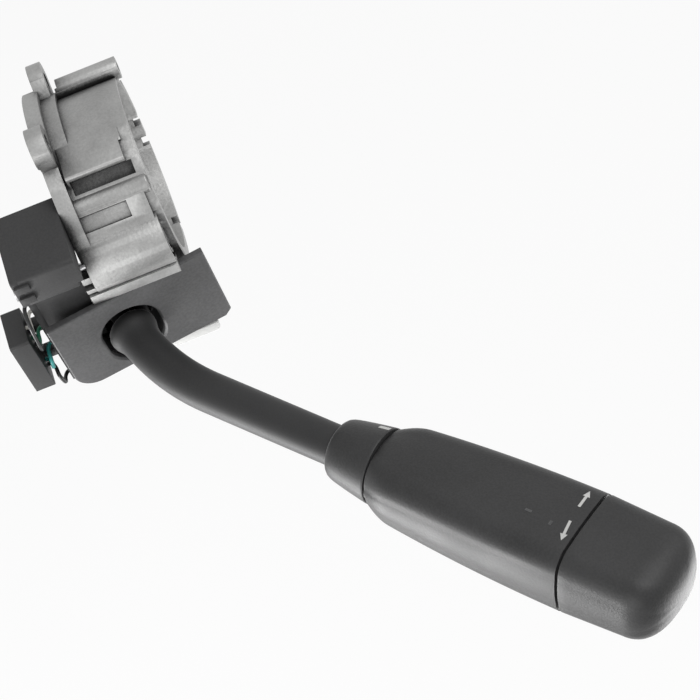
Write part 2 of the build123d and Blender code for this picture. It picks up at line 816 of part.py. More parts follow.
def grip_spindle():
    """Fixed spindle inside the grip, which the sleeve turns on and the cap's stem slides in."""
    spindle = grip_rod(spindle_radius, spindle_start, spindle_end)
    spindle -= grip_rod(spindle_bore, spindle_start - 1, spindle_end + 1)
    spindle -= spindle_band(clip_start, clip_width, clip_depth) + wiper_tracks()
    ball_bore = Pos(0, -spindle_radius, ball_place) * Rot(90, 0, 0) * Cylinder(ball_radius + running_fit, 4.8)
    return spindle - grip_frame.location * ball_bore


def spindle_circlip():
    """Circlip that keeps the sleeve on the spindle."""
    clip = grip_rod(spindle_radius + 1.4, clip_start, clip_start + clip_width)
    clip -= grip_rod(spindle_radius - clip_depth, clip_start - 1, clip_start + clip_width + 1)
    return clip - grip_frame.location * Pos(0, spindle_radius, clip_start) * Box(7, 8, 4 * clip_width)


def detent_ball():
    """Steel ball in the spindle that clicks into the sleeve's grooves."""
    place = Pos(0, ball_radius - sleeve_cavity + travel_gap, ball_place)
    return grip_frame.location * place * Sphere(ball_radius)


def wash_switch():
    """Push switch in the spindle that the cap's stem presses."""
    body = grip_rod(spindle_bore, switch_start, switch_end)
    body = chamfer(body.edges().filter_by(GeomType.CIRCLE), 0.3)
    return body + grip_rod(1.3, switch_end, stem_start - cap_press - 0.2)


def section_at(distance, width, depth, corner):
    """A rounded rectangle across the grip's axis."""
    return Pos(0, 0, distance) * RectangleRounded(width, depth, corner)


def sleeve_section(distance):
    """The sleeve's section where it swells from the shoulder to the seam."""
    share = (distance - shoulder_end) / (sleeve_end - shoulder_end)
    swell = 1 - (1 - share) ** 2
    width = shoulder_width + (grip_width - shoulder_width) * swell
    depth = shoulder_depth + (grip_depth - shoulder_depth) * swell
    return section_at(distance, width, depth, grip_corner)


def sleeve_outside():
    """The sleeve's outer form: a rounded shoulder, then a long swelling flank."""
    start = collar_length + sleeve_gap
    shoulder = [
        section_at(start, sleeve_start_width, sleeve_start_depth, sleeve_start_corner),
        section_at((start + shoulder_end) / 2, shoulder_width - 1.3, shoulder_depth - 0.6, grip_corner + 1.0),
        sleeve_section(shoulder_end),
    ]
    length = sleeve_end - shoulder_end
    flank = [sleeve_section(shoulder_end + length * share) for share in (0, 1 / 3, 2 / 3, 1)]
    return grip_frame.location * (loft(shoulder) + loft(flank))


def twist_sleeve():
    """Turning sleeve of the grip: a lofted, flat-sided shell on two bearing lands."""
    start = collar_length + sleeve_gap
    body = sleeve_outside() - grip_rod(spindle_radius + running_fit, start - 1, sleeve_end + 1)
    body -= grip_rod(sleeve_cavity, start + land_length, second_land)
    body -= grip_rod(sleeve_cavity, second_land + land_length, sleeve_end + 1)
    for stop in stop_angles:
        groove = Rot(0, 0, -stop) * Pos(0, -sleeve_cavity, ball_place) * Cylinder(groove_radius, groove_length)
        body -= grip_frame.location * groove
    depth = sleeve_end + 1 - tongue_start + cap_press + 0.6
    for side in (-1, 1):
        slot = Box(tongue_width + 2 * travel_gap, tongue_height + 2 * travel_gap, depth)
        body -= grip_frame.location * Pos(side * tongue_place, 0, sleeve_end + 1 - depth / 2) * slot
    return body


def wiper_contact_ring():
    """Brass ring in the sleeve with a finger over the track."""
    low = tracks_start + 0.6
    high = tracks_start + tracks_width - 0.6
    ring = grip_rod(sleeve_cavity, low, high) - grip_rod(sleeve_cavity - 0.6, low - 1, high + 1)
    finger_low = spindle_radius + travel_gap
    finger_high = sleeve_cavity - 0.3
    finger = Box(2.4, finger_high - finger_low, high - low)
    return ring + grip_frame.location * Pos(0, (finger_high + finger_low) / 2, (low + high) / 2) * finger


def end_cap():
    """Press cap: flat-sided and hollow, with a deeply rounded end and two guide tongues."""
    first = section_at(cap_start, grip_width, grip_depth, grip_corner)
    last = section_at(grip_length, grip_width - 2 * cap_taper, grip_depth - 2 * cap_taper, grip_corner)
    shell = loft([first, last])
    shell = fillet(shell.faces().sort_by(Axis.Z)[-1].outer_wire().edges(), cap_edge)
    cap = grip_frame.location * shell - grip_rod(cap_bore, cap_start - 1, cap_floor)
    length = cap_start + 2 - tongue_start
    for side in (-1, 1):
        place = Pos(side * tongue_place, 0, tongue_start + length / 2)
        cap += grip_frame.location * place * Box(tongue_width, tongue_height, length)
    return cap


def cap_stem():
    """Stem that guides the cap in the spindle and presses the switch."""
    stem = grip_rod(spindle_bore - running_fit, stem_start, cap_floor)
    return stem + grip_rod(spindle_bore + 2.2, shoulder_place, shoulder_place + 1.5)


def cap_spring():
    """Return spring of the cap, which stands on the end of the spindle."""
    height = shoulder_place - cap_press - 0.2 - spindle_end - seat_gap
    spring = coil_spring(0.35, spindle_bore + 1.2, height, 4)
    return grip_frame.location * Pos(0, 0, spindle_end + seat_gap) * spring


builders = [
    column_bracket, switch_housing, housing_cover, cover_plate, contact_base, housing_screws,
    turn_detent_track, contact_blades, connector_shell, connector_pins, pawl_pin, cancel_pawl,
    lever_carrier, beam_pin, beam_leaf_spring, turn_detent_plunger, turn_plunger_spring,
    turn_contact_slider, slider_bridge, lever_root, lever_tube, lever_harness, index_collar,
    grip_spindle, wiper_tracks, spindle_circlip, detent_ball, wash_switch, twist_sleeve,
    wiper_contact_ring, end_cap, cap_stem, cap_spring,
]

os.makedirs("parts", exist_ok=True)
for build in builders:
    export_step(build(), f"parts/{build.__name__}.step")
for lead_name in lead_routes:
    export_step(lead(lead_name), f"parts/{lead_name}.step")
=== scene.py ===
import json
import math

import bmesh
import bpy
from mathutils import Matrix, Vector


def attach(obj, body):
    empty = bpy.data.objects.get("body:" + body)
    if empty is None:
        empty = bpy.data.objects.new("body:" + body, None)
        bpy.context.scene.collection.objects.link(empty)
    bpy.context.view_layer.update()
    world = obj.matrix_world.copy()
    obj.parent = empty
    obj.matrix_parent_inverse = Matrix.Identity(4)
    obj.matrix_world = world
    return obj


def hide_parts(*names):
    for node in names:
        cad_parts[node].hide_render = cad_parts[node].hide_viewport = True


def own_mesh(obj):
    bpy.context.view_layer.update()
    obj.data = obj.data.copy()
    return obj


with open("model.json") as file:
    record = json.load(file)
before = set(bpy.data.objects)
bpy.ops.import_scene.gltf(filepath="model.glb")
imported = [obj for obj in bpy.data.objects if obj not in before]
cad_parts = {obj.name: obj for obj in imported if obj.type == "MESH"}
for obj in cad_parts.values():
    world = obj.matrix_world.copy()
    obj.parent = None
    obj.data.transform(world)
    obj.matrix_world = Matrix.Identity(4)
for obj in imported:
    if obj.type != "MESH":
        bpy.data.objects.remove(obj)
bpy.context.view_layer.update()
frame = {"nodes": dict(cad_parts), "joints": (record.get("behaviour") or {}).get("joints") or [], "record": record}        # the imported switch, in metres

mm = 0.001
joints = {joint["name"]: joint for joint in frame["joints"]}
leverPivot = Vector(joints["turn_signal"]["pos_m"])
gripOrigin = Vector(joints["sleeve_twist"]["pos_m"])
gripAxis = Vector(joints["sleeve_twist"]["axis"]).normalized()
gripRoll = math.radians(15)
towardsDriver = Vector((-gripAxis.y, gripAxis.x, 0))
gripAcross = towardsDriver * math.cos(gripRoll) - Vector((0, 0, math.sin(gripRoll)))
gripUp = gripAxis.cross(gripAcross)
gripMatrix = Matrix.Translation(gripOrigin) @ Matrix((gripAcross, gripUp, gripAxis)).transposed().to_4x4()
gripMatrix = gripMatrix @ Matrix.Scale(mm, 4)
print("frame loaded, nodes:", len(frame["nodes"]))


# Node helpers

def newGroup(name, inputs, outputs):
    tree = bpy.data.node_groups.new(name, "ShaderNodeTree")
    for label, kind, value in inputs:
        socket = tree.interface.new_socket(name=label, in_out="INPUT", socket_type=kind)
        if value is not None:
            socket.default_value = value
    for label, kind in outputs:
        tree.interface.new_socket(name=label, in_out="OUTPUT", socket_type=kind)
    return tree, tree.nodes.new("NodeGroupInput").outputs, tree.nodes.new("NodeGroupOutput").inputs


def fill(tree, socket, value):
    if isinstance(value, bpy.types.NodeSocket):
        tree.links.new(value, socket)
    else:
        socket.default_value = value


def addNode(tree, kind, **inputs):
    node = tree.nodes.new(kind)
    for label, value in inputs.items():
        fill(tree, node.inputs[label.replace("_", " ")], value)
    return node


def mixColours(tree, factor, first, second):
    node = tree.nodes.new("ShaderNodeMix")
    node.data_type = "RGBA"
    for index, value in ((0, factor), (6, first), (7, second)):
        fill(tree, node.inputs[index], value)
    return node.outputs[2]


def mapRange(tree, value, low, high, toLow, toHigh):
    node = addNode(tree, "ShaderNodeMapRange", Value=value)
    for index, setting in enumerate((low, high, toLow, toHigh), 1):
        fill(tree, node.inputs[index], setting)
    return node.outputs[0]


def mathNode(tree, operation, first, second):
    node = tree.nodes.new("ShaderNodeMath")
    node.operation = operation
    fill(tree, node.inputs[0], first)
    fill(tree, node.inputs[1], second)
    return node.outputs[0]


def noiseValue(tree, place, scale, detail, **inputs):
    node = addNode(tree, "ShaderNodeTexNoise", Vector=place, Scale=scale, Detail=detail, **inputs)
    return node.outputs[0]


# Surface effects that several finishes share

skinOutputs = [
    ("Colour", "NodeSocketColor"), ("Roughness", "NodeSocketFloat"), ("Height", "NodeSocketFloat"),
]


def buildMouldGrain():
    tree, given, out = newGroup("mouldGrain", [
        ("Place", "NodeSocketVector", None),
        ("Colour", "NodeSocketColor", (0.03, 0.03, 0.03, 1)),
        ("Faded Colour", "NodeSocketColor", (0.05, 0.05, 0.05, 1)),
        ("Grain Scale", "NodeSocketFloat", 2200.0),
        ("Cloud Scale", "NodeSocketFloat", 55.0),
        ("Smooth", "NodeSocketFloat", 0.42),
        ("Rough", "NodeSocketFloat", 0.56),
    ], skinOutputs)
    place = given["Place"]
    grain = noiseValue(tree, place, given["Grain Scale"], 3.0)
    clouds = noiseValue(tree, place, given["Cloud Scale"], 4.0)
    clouded = mapRange(tree, clouds, 0.35, 0.7, 0.0, 0.7)
    speckled = mapRange(tree, grain, 0.35, 0.65, 0.0, 0.5)
    fade = mathNode(tree, "ADD", clouded, speckled)
    tree.links.new(mixColours(tree, fade, given["Colour"], given["Faded Colour"]), out["Colour"])
    tree.links.new(mapRange(tree, clouds, 0.3, 0.7, given["Smooth"], given["Rough"]), out["Roughness"])
    tree.links.new(grain, out["Height"])
    return tree


def buildCastSkin():
    tree, given, out = newGroup("castSkin", [
        ("Place", "NodeSocketVector", None),
        ("Open Sky", "NodeSocketFloat", 1.0),
        ("Edges", "NodeSocketFloat", 0.5),
        ("Colour", "NodeSocketColor", (0.5, 0.5, 0.5, 1)),
        ("Bright Colour", "NodeSocketColor", (0.7, 0.7, 0.7, 1)),
        ("Grimy Colour", "NodeSocketColor", (0.25, 0.25, 0.25, 1)),
        ("Fine Scale", "NodeSocketFloat", 1500.0),
        ("Pit Scale", "NodeSocketFloat", 900.0),
        ("Flow Scale", "NodeSocketFloat", 90.0),
    ], skinOutputs)
    place = given["Place"]
    fine = noiseValue(tree, place, given["Fine Scale"], 4.0)
    pits = addNode(tree, "ShaderNodeTexVoronoi", Vector=place, Scale=given["Pit Scale"]).outputs[0]
    flow = noiseValue(tree, place, given["Flow Scale"], 6.0, Roughness=0.65)
    clouded = mapRange(tree, flow, 0.35, 0.68, 0.0, 0.4)
    # Painted highlight: sharp convex edges, found by pointiness, are lightened towards the bright colour,
    # added to the random flow tone
    edgeHighlight = mapRange(tree, given["Edges"], 0.52, 0.6, 0.0, 0.9)
    bright = mathNode(tree, "ADD", clouded, edgeHighlight)
    colour = mixColours(tree, bright, given["Colour"], given["Bright Colour"])
    # Painted shade: where ambient occlusion finds a hollow, the colour is darkened towards the near-black
    # shade colour; fine noise adds random grime on top
    shadeAndGrime = mapRange(tree, given["Open Sky"], 0.45, 0.97, 1.0, 0.0)
    shadeAndGrime = mathNode(tree, "ADD", shadeAndGrime, mapRange(tree, fine, 0.35, 0.75, 0.0, 0.16))
    tree.links.new(mixColours(tree, shadeAndGrime, colour, given["Grimy Colour"]), out["Colour"])
    tree.links.new(mapRange(tree, flow, 0.3, 0.7, 0.40, 0.56), out["Roughness"])
    height = mathNode(tree, "ADD", fine, mathNode(tree, "MULTIPLY", pits, 0.5))
    tree.links.new(height, out["Height"])
    return tree


mouldGrain = buildMouldGrain()
castSkin = buildCastSkin()


def newMaterial(name):
    material = bpy.data.materials.new(name)
    material.use_nodes = True
    tree = material.node_tree
    place = tree.nodes.new("ShaderNodeTexCoord").outputs["Object"]
    return material, tree, tree.nodes["Principled BSDF"], place


def placeGroup(tree, group, shader, strength, distance, **inputs):
    skin = tree.nodes.new("ShaderNodeGroup")
    skin.node_tree = group
    for label, value in inputs.items():
        fill(tree, skin.inputs[label.replace("_", " ")], value)
    tree.links.new(skin.outputs["Colour"], shader.inputs["Base Color"])
    tree.links.new(skin.outputs["Roughness"], shader.inputs["Roughness"])
    bumpInto(tree, shader, skin.outputs["Height"], strength, distance)


def bumpInto(tree, shader, height, strength, distance):
    bump = addNode(tree, "ShaderNodeBump", Height=height, Strength=strength, Distance=distance)
    tree.links.new(bump.outputs["Normal"], shader.inputs["Normal"])


def grey(level):
    return (level, level, level * 1.02, 1)


mouldedLook = {"grainHeight": 0.00012, "sheenRoughness": 0.35}
# The darkest colour here is near-black painted shade for hollows, with some grime
castLook = {        # lengths in metres
    "colour": (0.29, 0.29, 0.286, 1), "bright": (0.46, 0.46, 0.455, 1), "shadeAndGrimeColour": (0.03, 0.03, 0.03, 1),
    "metallic": 0.8, "bump": 0.35, "grainHeight": 0.0002, "skyReach": 0.007, "skySamples": 8,
}
metalLook = {"scuffScale": 700.0, "shade": 0.8, "bump": 0.1, "scuffHeight": 0.0001}


def mouldedPlastic(name, colour, faded, smooth, rough, grainScale=2200.0, bump=0.25, specular=0.4, sheen=0.0):
    material, tree, shader, place = newMaterial(name)
    placeGroup(
        tree, mouldGrain, shader, bump, mouldedLook["grainHeight"],
        Place=place, Colour=colour, Faded_Colour=faded, Grain_Scale=grainScale, Smooth=smooth, Rough=rough,
    )
    shader.inputs["Specular IOR Level"].default_value = specular
    shader.inputs["Sheen Weight"].default_value = sheen
    shader.inputs["Sheen Roughness"].default_value = mouldedLook["sheenRoughness"]
    return material


def castMetal(name):
    look = castLook
    material, tree, shader, place = newMaterial(name)
    # Ambient occlusion drives the painted shade in the hollows
    sky = addNode(tree, "ShaderNodeAmbientOcclusion", Distance=look["skyReach"])
    sky.samples = look["skySamples"]
    # Pointiness drives the painted highlight on the edges
    placeGroup(
        tree, castSkin, shader, look["bump"], look["grainHeight"],
        Place=place, Open_Sky=sky.outputs["AO"],
        Edges=tree.nodes.new("ShaderNodeNewGeometry").outputs["Pointiness"],
        Colour=look["colour"], Bright_Colour=look["bright"], Grimy_Colour=look["shadeAndGrimeColour"],
    )
    shader.inputs["Metallic"].default_value = look["metallic"]
    return material


def plainMetal(name, colour, low, high):
    look = metalLook
    material, tree, shader, place = newMaterial(name)
    scuffs = noiseValue(tree, place, look["scuffScale"], 4.0)
    tint = mixColours(tree, scuffs, colour, tuple(part * look["shade"] for part in colour[:3]) + (1,))
    tree.links.new(tint, shader.inputs["Base Color"])
    tree.links.new(mapRange(tree, scuffs, 0.3, 0.7, low, high), shader.inputs["Roughness"])
    shader.inputs["Metallic"].default_value = 1.0
    bumpInto(tree, shader, scuffs, look["bump"], look["scuffHeight"])
    return material


# Plastics: name, colour, faded colour, least and most roughness, then grain scale, bump, specular and sheen
finishes = {
    "cast_alloy": castMetal("castAlloy"),
    "housing_plastic": mouldedPlastic("housingBlack", grey(0.022), grey(0.034), 0.50, 0.62, 1500.0, 0.3),
    "plate_plastic": mouldedPlastic("plateBlack", grey(0.050), grey(0.086), 0.48, 0.62, 1300.0, 0.4),
    "lever_plastic": mouldedPlastic(
        "leverBlack", grey(0.017), grey(0.026), 0.48, 0.56, 2600.0, 0.1, 0.33, 0.2,
    ),
    "grip_plastic": mouldedPlastic(
        "gripBlack", grey(0.012), grey(0.026), 0.44, 0.54, 1700.0, 0.5, 0.4, 0.15,
    ),
    "inner_plastic": mouldedPlastic("naturalPlastic", (0.55, 0.52, 0.45, 1), (0.6, 0.58, 0.52, 1), 0.4, 0.5),
    "white_plastic": mouldedPlastic("whitePlastic", (0.57, 0.57, 0.56, 1), (0.62, 0.62, 0.61, 1), 0.4, 0.5),
    "connector_plastic": mouldedPlastic("connectorBlack", grey(0.026), grey(0.036), 0.38, 0.5, 1800.0, 0.15),
    "steel": plainMetal("zincSteel", (0.62, 0.62, 0.63, 1), 0.25, 0.42),
    "brass": plainMetal("stampedBrass", (0.78, 0.60, 0.28, 1), 0.22, 0.38),
    "black_insulation": mouldedPlastic("blackWire", grey(0.012), grey(0.02), 0.3, 0.42, 900.0, 0.05),
    "white_insulation": mouldedPlastic("whiteWire", (0.75, 0.74, 0.68, 1), (0.8, 0.79, 0.75, 1), 0.3, 0.42),
    "green_insulation": mouldedPlastic("greenWire", (0.02, 0.16, 0.09, 1), (0.03, 0.2, 0.12, 1), 0.3, 0.42),
    "teal_insulation": mouldedPlastic("tealWire", (0.03, 0.26, 0.25, 1), (0.05, 0.32, 0.3, 1), 0.3, 0.42),
    "drum_plastic": mouldedPlastic("drumBlack", grey(0.008), grey(0.012), 0.4, 0.5, 1500.0, 0.1),
    "marks": mouldedPlastic(
        "printedWhite", (0.66, 0.66, 0.64, 1), (0.5, 0.5, 0.49, 1), 0.4, 0.5, 3000.0, 0.05,
    ),
    "faint_marks": mouldedPlastic("wornPrint", grey(0.10), grey(0.05), 0.4, 0.5, 3000.0, 0.05),
}
print("materials built:", len(finishes))


# Pieces

def dress(piece, slotName, body, *nodes):
    piece.data.materials.clear()
    piece.data.materials.append(finishes[slotName])
    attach(piece, body)
    if nodes:
        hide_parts(*nodes)


def addPiece(name, mesh, slotName, body, *nodes):
    dress(placeInScene(name, mesh), slotName, body, *nodes)


crispAngles = {"moulded": 40, "round": 50}        # edges sharper than this stay crisp, in degrees
mergeSizes = {"distance": 1e-6, "flatAngle": 1.0}        # metres and degrees


def smoothByAngle(mesh, kind):
    mesh.shade_smooth()
    mesh.set_sharp_from_angle(angle=math.radians(crispAngles[kind]))


def placeInScene(name, data):
    piece = bpy.data.objects.new(name, data)
    bpy.context.scene.collection.objects.link(piece)
    return piece


def mergedCopy(node, name):
    mesh = frame["nodes"][node].data.copy()
    mesh.name = name
    shape = bmesh.new()
    shape.from_mesh(mesh)
    flatAngle = math.radians(mergeSizes["flatAngle"])
    bmesh.ops.remove_doubles(shape, verts=shape.verts, dist=mergeSizes["distance"])
    bmesh.ops.dissolve_limit(shape, angle_limit=flatAngle, verts=shape.verts, edges=shape.edges)
    shape.to_mesh(mesh)
    shape.free()
    return placeInScene(name, mesh)


def applyModifiers(piece):
    scene = bpy.context.evaluated_depsgraph_get()
    mesh = bpy.data.meshes.new_from_object(piece.evaluated_get(scene))
    piece.modifiers.clear()
    piece.data = mesh
    return piece


def cadBody(node):
    return next(body for body, nodes in frame["record"]["behaviour"]["bodies"].items() if node in nodes)


bracketCuts = {        # in mm and in degrees round the column, rear and front along its axis
    "crownRadius": 25.5, "crownTurns": (-78, -13), "rampEnd": (-5.22, 27.0), "shelfEnd": -10.5,
    "crownRear": 8.5, "crownFront": 27.5, "reach": 42.0, "boss": (27.7, -50, 3.12),
    "recessTurn": 35.5, "recessFloor": 25.4, "recessWidth": 3.8, "recessRear": 5.6, "recessFront": 22.6,
    "crownSteps": 20, "bossSteps": 48, "bossOverlap": 1, "overreach": 1.3,
}


def aroundColumn(radius, degrees):
    turn = math.radians(degrees)
    return -radius * math.sin(turn), radius * math.cos(turn)


def prismPiece(name, outline, rear, front):
    shape = bmesh.new()
    loops = [[shape.verts.new(Vector((x, -place, z)) * mm) for x, z in outline] for place in (rear, front)]
    shape.faces.new(loops[0])
    shape.faces.new(list(reversed(loops[1])))
    for index in range(len(outline)):
        after = (index + 1) % len(outline)
        shape.faces.new((loops[0][index], loops[1][index], loops[1][after], loops[0][after]))
    bmesh.ops.recalc_face_normals(shape, faces=shape.faces)
    mesh = bpy.data.meshes.new(name)
    shape.to_mesh(mesh)
    shape.free()
    return placeInScene(name, mesh)


def cutAway(piece, cutter):
    cut = piece.modifiers.new("cut", "BOOLEAN")
    cut.operation = "DIFFERENCE"
    cut.solver = "EXACT"
    cut.object = cutter
    applyModifiers(piece)
    bpy.data.objects.remove(cutter)


def cutBracket(piece):
    cuts = bracketCuts
    start, end = cuts["crownTurns"]
    steps = cuts["crownSteps"]
    outline = [
        aroundColumn(cuts["crownRadius"], start + (end - start) * step / steps) for step in range(steps + 1)
    ]
    outline += [cuts["rampEnd"], (cuts["shelfEnd"], cuts["rampEnd"][1]), (cuts["shelfEnd"], cuts["reach"])]
    beyond = cuts["overreach"] * cuts["reach"]
    outline += [aroundColumn(beyond, turn) for turn in (end, (start + end) / 2, start)]
    crown = prismPiece("crownCut", outline, cuts["crownRear"], cuts["crownFront"])
    radius, turn, bossRadius = cuts["boss"]
    x, z = aroundColumn(radius, turn)
    ring = [aroundColumn(bossRadius, 360 * step / cuts["bossSteps"]) for step in range(cuts["bossSteps"])]
    boss = [(x + dx, z + dz) for dx, dz in ring]
    overlap = cuts["bossOverlap"]
    cutAway(crown, prismPiece("bossKept", boss, cuts["crownRear"] - overlap, cuts["crownFront"] + overlap))
    cutAway(piece, crown)
    outwards = Vector(aroundColumn(1, cuts["recessTurn"]))
    aside = Vector((outwards.y, -outwards.x)) * cuts["recessWidth"] / 2
    near, far = outwards * cuts["recessFloor"], outwards * cuts["reach"]
    recess = [tuple(corner) for corner in (near - aside, near + aside, far + aside, far - aside)]
    cutAway(piece, prismPiece("recessCut", recess, cuts["recessRear"], cuts["recessFront"]))
    print("bracket cut, faces:", len(piece.data.polygons))


def softenedCopy(node, name, slotName, width, angle):
    piece = mergedCopy(node, name)
    if node == "column_bracket":
        cutBracket(piece)
    bevel = piece.modifiers.new("edges", "BEVEL")
    bevel.width = width * mm
    bevel.segments = 2
    bevel.limit_method = "ANGLE"
    bevel.angle_limit = math.radians(angle)
    bevel.use_clamp_overlap = True
    applyModifiers(piece)
    smoothByAngle(piece.data, "moulded")
    dress(piece, slotName, cadBody(node), node)
    print(name, "faces:", len(piece.data.polygons))


softEdges = {        # node: piece, finish, bevel in mm, smallest angle that gets one
    "column_bracket": ("castBracket", "cast_alloy", 0.35, 28),
    "switch_housing": ("mouldedHousing", "housing_plastic", 0.3, 32),
    "housing_cover": ("rearCover", "housing_plastic", 0.2, 32),
    "cover_plate": ("openingPlate", "plate_plastic", 0.25, 32),
    "contact_base": ("whiteBase", "white_plastic", 0.3, 32),
    "connector_shell": ("connectorBlock", "connector_plastic", 0.2, 32),
}
for node, sizes in softEdges.items():
    softenedCopy(node, *sizes)


# Round bars that follow a path: the lever's arm and the leads

def buildSweepTree():
    tree = bpy.data.node_groups.new("sweptRound", "GeometryNodeTree")
    addSocket = tree.interface.new_socket
    addSocket(name="Path", in_out="INPUT", socket_type="NodeSocketGeometry")
    sockets = {
        "sides": addSocket(name="Sides", in_out="INPUT", socket_type="NodeSocketInt").identifier,
        "finish": addSocket(name="Finish", in_out="INPUT", socket_type="NodeSocketMaterial").identifier,
    }
    addSocket(name="Bar", in_out="OUTPUT", socket_type="NodeSocketGeometry")
    given = tree.nodes.new("NodeGroupInput").outputs
    out = tree.nodes.new("NodeGroupOutput").inputs
    curve = addNode(tree, "GeometryNodeMeshToCurve", Mesh=given["Path"]).outputs[0]
    reach = addNode(tree, "GeometryNodeInputNamedAttribute", Name="reach").outputs["Attribute"]
    rim = addNode(tree, "GeometryNodeCurvePrimitiveCircle", Resolution=given["Sides"]).outputs["Curve"]
    bar = addNode(
        tree, "GeometryNodeCurveToMesh", Curve=curve, Profile_Curve=rim, Scale=reach, Fill_Caps=True,
    ).outputs[0]
    smooth = addNode(tree, "GeometryNodeSetShadeSmooth", Geometry=bar).outputs[0]
    real = addNode(tree, "GeometryNodeRealizeInstances", Geometry=smooth).outputs[0]
    dressed = addNode(tree, "GeometryNodeSetMaterial", Geometry=real, Material=given["Finish"]).outputs[0]
    tree.links.new(dressed, out["Bar"])
    return tree, sockets


sweepTree, sweepSockets = buildSweepTree()


def sweepPiece(name, points, radii, sides, slotName, body, *nodes):
    mesh = bpy.data.meshes.new(name)
    mesh.from_pydata([tuple(point) for point in points], [(i, i + 1) for i in range(len(points) - 1)], [])
    reach = mesh.attributes.new("reach", "FLOAT", "POINT")
    for place, radius in zip(reach.data, radii):
        place.value = radius
    piece = placeInScene(name, mesh)
    swept = piece.modifiers.new("sweptRound", "NODES")
    swept.node_group = sweepTree
    swept[sweepSockets["sides"]] = sides
    swept[sweepSockets["finish"]] = finishes[slotName]
    applyModifiers(piece)
    smoothByAngle(piece.data, "round")
    dress(piece, slotName, body, *nodes)
    return piece


# In mm and degrees: the root by place and radius, the hub by two radii and half its height
armSizes = {
    "leverAngle": 17.0, "bendPlace": 29.2, "bendRadius": 66.0, "armEnd": 59.9, "radius": 5.6,
    "hub": (3.2, 1.55, 3.5),
    "root": (
        (0.0, 2.9), (8.1, 2.9), (8.3, 4.6), (8.8, 5.7), (9.6, 6.4), (10.6, 6.78), (11.4, 6.85),
        (12.4, 6.7), (13.4, 6.35), (14.4, 6.0), (15.6, 5.75), (17.0, 5.62),
    ),
    "sides": 72, "hubSides": 40, "bendSteps": 24, "tubeSteps": 8, "leastStep": 0.4,
}


def leverArmPath():
    sizes = armSizes
    angle = math.radians(sizes["leverAngle"])
    rootAxis = Vector((-math.cos(angle), -math.sin(angle), 0))
    corner = leverPivot + rootAxis * sizes["bendPlace"] * mm
    turn = rootAxis.angle(gripAxis)
    tangent = sizes["bendRadius"] * math.tan(turn / 2)
    points = [leverPivot + rootAxis * place * mm for place, _ in sizes["root"]]
    radii = [radius * mm for _, radius in sizes["root"]]
    inwards = (gripAxis - rootAxis * gripAxis.dot(rootAxis)).normalized()
    centre = corner - rootAxis * tangent * mm + inwards * sizes["bendRadius"] * mm
    for step in range(sizes["bendSteps"] + 1):
        swing = turn * step / sizes["bendSteps"]
        arm = rootAxis * math.sin(swing) - inwards * math.cos(swing)
        points.append(centre + arm * sizes["bendRadius"] * mm)
    for step in range(1, sizes["tubeSteps"] + 1):
        along = tangent + (sizes["armEnd"] - tangent) * step / sizes["tubeSteps"]
        points.append(corner + gripAxis * along * mm)
    radii += [sizes["radius"] * mm] * (len(points) - len(radii))
    # The bend starts before the root ends, so its first points are left out
    last = len(sizes["root"])
    while (points[last] - points[last - 1]).dot(rootAxis) < sizes["leastStep"] * mm:
        del points[last], radii[last]
    return points, radii


def buildLeverArm():
    points, radii = leverArmPath()
    arm = sweepPiece(
        "leverArm", points, radii, armSizes["sides"], "lever_plastic", "lever", "lever_root", "lever_tube",
    )
    outer, inner, half = armSizes["hub"]
    sides = armSizes["hubSides"]
    turns = [2 * math.pi * side / sides for side in range(sides)]
    hub = bmesh.new()
    hub.from_mesh(arm.data)
    loops = []
    for radius, height in ((outer, -half), (outer, half), (inner, half), (inner, -half)):
        ring = [Vector((radius * math.cos(turn), radius * math.sin(turn), height)) for turn in turns]
        loops.append([hub.verts.new(leverPivot + point * mm) for point in ring])
    for lower, upper in zip(loops, loops[1:] + loops[:1]):
        for side in range(sides):
            after = (side + 1) % sides
            hub.faces.new((lower[side], lower[after], upper[after], upper[side]))
    hub.to_mesh(arm.data)
    hub.free()
    print("lever arm, faces:", len(arm.data.polygons))


leadSizes = {        # heights in mm at the cover and at the connector, and how far the lead bows out
    "lead_black": ("upperBlackLead", "black_insulation", 2.2, -16.0, 5.3),
    "lead_white": ("whiteLead", "white_insulation", -1.4, -7.6, 3.6),
    "lead_green": ("greenLead", "green_insulation", -9.6, -12.8, 3.4),
    "lead_teal": ("tealLead", "teal_insulation", -17.8, -24.2, 4.6),
    "lead_black_low": ("lowerBlackLead", "black_insulation", -33.2, -26.8, 4.2),
}
leadSeat = {        # mm; bends give a share of the bow, mm past the middle of the gap, a share of the fall
    "x": -29.9, "cover": 17.5, "connector": 21.5, "depth": 1.4, "straight": 0.5, "radius": 0.55,
    "bends": ((0.35, -0.5, 0.03), (0.92, -0.3, 0.2), (1.0, 0.0, 0.5), (0.9, 0.3, 0.8), (0.35, 0.5, 0.97)),
    "sides": 20, "steps": 8,
}


def splinePoints(points, steps):
    ends = [2 * points[0] - points[1]] + points + [2 * points[-1] - points[-2]]
    result = []
    for a, b, c, d in zip(ends, ends[1:], ends[2:], ends[3:]):
        for step in range(steps):
            t = step / steps
            result.append(0.5 * (
                2 * b + (c - a) * t + (2 * a - 5 * b + 4 * c - d) * t * t + (3 * b - a - 3 * c + d) * t ** 3
            ))
    return result + [points[-1]]


def buildLeads():
    seat = leadSeat
    middle = (seat["cover"] + seat["connector"]) / 2
    x = seat["x"]
    for node, (name, slotName, first, last, bow) in leadSizes.items():
        points = [(x, seat["cover"] - seat["depth"], first), (x, seat["cover"] + seat["straight"], first)]
        for share, past, drop in seat["bends"]:
            points.append((x - share * bow, middle + past, first + drop * (last - first)))
        points.append((x, seat["connector"] - seat["straight"], last))
        points.append((x, seat["connector"] + seat["depth"], last))
        smooth = splinePoints([Vector(point) for point in points], seat["steps"])
        radii = [seat["radius"] * mm] * len(smooth)
        sweepPiece(name, [point * mm for point in smooth], radii, seat["sides"], slotName, "root", node)
    print("leads built:", len(leadSizes))


# Rows of equal blades in the connector

